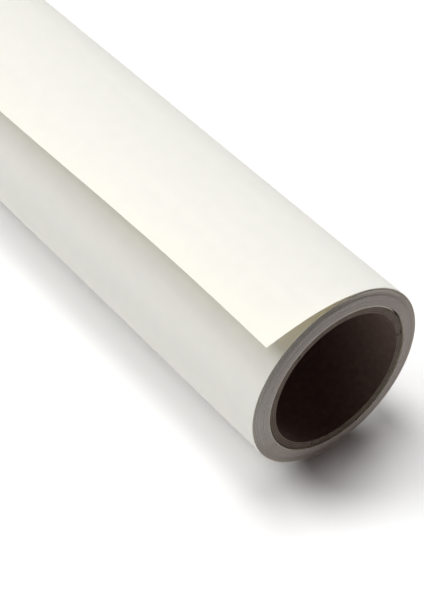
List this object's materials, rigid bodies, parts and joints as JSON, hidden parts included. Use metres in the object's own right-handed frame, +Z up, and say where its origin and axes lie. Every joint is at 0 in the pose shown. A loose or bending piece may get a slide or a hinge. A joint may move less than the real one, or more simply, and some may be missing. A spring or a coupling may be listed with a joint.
{
  "type": "backdrop paper roll",
  "caption": "Seamless backdrop paper wound on a paperboard core, half width, with a loose end that lifts and an outer turn that peels off.",
  "frame": {"origin": "on the floor under the middle of the roll's length", "axes": "+X along the roll's axis towards the end the picture shows, +Z up; the loose end leaves the roll at the top and hangs towards -Y"},
  "size_m": [1.3516, 0.0767, 0.077],
  "materials": {
    "white_paper": "matt uncoated paper, faintly creamy white",
    "core_liner": "dark kraft paperboard, spiral wound",
    "core_board": "grey-brown recycled paperboard, cut edge",
    "core_wrap": "brown kraft paperboard",
    "start_tape": "thin adhesive tape"
  },
  "bodies": {
    "roll": {"core_inner_liner": "core_liner", "core_body_ply_1": "core_board", "core_body_ply_2": "core_board", "core_body_ply_3": "core_board", "core_body_ply_4": "core_board", "core_outer_wrap": "core_wrap", "start_tape": "start_tape", "wound_sheet": "white_paper"},
    "peel_01": {"outer_turn_strip_01": "white_paper"},
    "peel_02": {"outer_turn_strip_02": "white_paper"},
    "peel_03": {"outer_turn_strip_03": "white_paper"},
    "peel_04": {"outer_turn_strip_04": "white_paper"},
    "peel_05": {"outer_turn_strip_05": "white_paper"},
    "peel_06": {"outer_turn_strip_06": "white_paper"},
    "peel_07": {"outer_turn_strip_07": "white_paper"},
    "peel_08": {"outer_turn_strip_08": "white_paper"},
    "peel_09": {"outer_turn_strip_09": "white_paper"},
    "peel_10": {"outer_turn_strip_10": "white_paper"},
    "loose_1": {"loose_end_strip_1": "white_paper"},
    "loose_2": {"loose_end_strip_2": "white_paper"},
    "loose_3": {"loose_end_strip_3": "white_paper"},
    "loose_4": {"loose_end_strip_4": "white_paper"}
  },
  "joints": [
    {"name": "outer_turn_peel", "type": "hinge", "parent": "roll", "child": "peel_01", "pos_m": [0, 0.01696, 0.00398], "axis": [-1, 0, 0], "range_deg": [0, 15], "stiffness_Nm_per_rad": 0.05},
    {"name": "outer_turn_bend_02", "type": "hinge", "parent": "peel_01", "child": "peel_02", "pos_m": [0, 0.0253, 0.00953], "axis": [-1, 0, 0], "range_deg": [0, 15], "stiffness_Nm_per_rad": 0.05},
    {"name": "outer_turn_bend_03", "type": "hinge", "parent": "peel_02", "child": "peel_03", "pos_m": [0, 0.03191, 0.01706], "axis": [-1, 0, 0], "range_deg": [0, 15], "stiffness_Nm_per_rad": 0.05},
    {"name": "outer_turn_bend_04", "type": "hinge", "parent": "peel_03", "child": "peel_04", "pos_m": [0, 0.03635, 0.02604], "axis": [-1, 0, 0], "range_deg": [0, 15], "stiffness_Nm_per_rad": 0.05},
    {"name": "outer_turn_bend_05", "type": "hinge", "parent": "peel_04", "child": "peel_05", "pos_m": [0, 0.03832, 0.03587], "axis": [-1, 0, 0], "range_deg": [0, 15], "stiffness_Nm_per_rad": 0.05},
    {"name": "outer_turn_bend_06", "type": "hinge", "parent": "peel_05", "child": "peel_06", "pos_m": [0, 0.03768, 0.04587], "axis": [-1, 0, 0], "range_deg": [0, 15], "stiffness_Nm_per_rad": 0.05},
    {"name": "outer_turn_bend_07", "type": "hinge", "parent": "peel_06", "child": "peel_07", "pos_m": [0, 0.03446, 0.05537], "axis": [-1, 0, 0], "range_deg": [0, 15], "stiffness_Nm_per_rad": 0.05},
    {"name": "outer_turn_bend_08", "type": "hinge", "parent": "peel_07", "child": "peel_08", "pos_m": [0, 0.0289, 0.06372], "axis": [-1, 0, 0], "range_deg": [0, 15], "stiffness_Nm_per_rad": 0.05},
    {"name": "outer_turn_bend_09", "type": "hinge", "parent": "peel_08", "child": "peel_09", "pos_m": [0, 0.02136, 0.07035], "axis": [-1, 0, 0], "range_deg": [0, 15], "stiffness_Nm_per_rad": 0.05},
    {"name": "outer_turn_bend_10", "type": "hinge", "parent": "peel_09", "child": "peel_10", "pos_m": [0, 0.01236, 0.0748], "axis": [-1, 0, 0], "range_deg": [0, 15], "stiffness_Nm_per_rad": 0.05},
    {"name": "loose_end_root", "type": "hinge", "parent": "peel_10", "child": "loose_1", "pos_m": [0, 0.00252, 0.07677], "axis": [-1, 0, 0], "range_deg": [-0.8, 1], "stiffness_Nm_per_rad": 0.05},
    {"name": "loose_end_lift", "type": "hinge", "parent": "loose_1", "child": "loose_2", "pos_m": [0, -0.00645, 0.07692], "axis": [-1, 0, 0], "range_deg": [-9.5, 12], "stiffness_Nm_per_rad": 0.05},
    {"name": "loose_end_bend_3", "type": "hinge", "parent": "loose_2", "child": "loose_3", "pos_m": [0, -0.01542, 0.07658], "axis": [-1, 0, 0], "range_deg": [-9.5, 12], "stiffness_Nm_per_rad": 0.05},
    {"name": "loose_end_bend_4", "type": "hinge", "parent": "loose_3", "child": "loose_4", "pos_m": [0, -0.02435, 0.07573], "axis": [-1, 0, 0], "range_deg": [-9.5, 12], "stiffness_Nm_per_rad": 0.05}
  ],
  "couplings": [
    {"joint": "outer_turn_bend_02", "follows": "outer_turn_peel", "ratio": 1},
    {"joint": "outer_turn_bend_03", "follows": "outer_turn_peel", "ratio": 1},
    {"joint": "outer_turn_bend_04", "follows": "outer_turn_peel", "ratio": 1},
    {"joint": "outer_turn_bend_05", "follows": "outer_turn_peel", "ratio": 1},
    {"joint": "outer_turn_bend_06", "follows": "outer_turn_peel", "ratio": 1},
    {"joint": "outer_turn_bend_07", "follows": "outer_turn_peel", "ratio": 1},
    {"joint": "outer_turn_bend_08", "follows": "outer_turn_peel", "ratio": 1},
    {"joint": "outer_turn_bend_09", "follows": "outer_turn_peel", "ratio": 1},
    {"joint": "outer_turn_bend_10", "follows": "outer_turn_peel", "ratio": 1},
    {"joint": "loose_end_root", "follows": "loose_end_lift", "ratio": 0.0833},
    {"joint": "loose_end_bend_3", "follows": "loose_end_lift", "ratio": 1},
    {"joint": "loose_end_bend_4", "follows": "loose_end_lift", "ratio": 1}
  ]
}
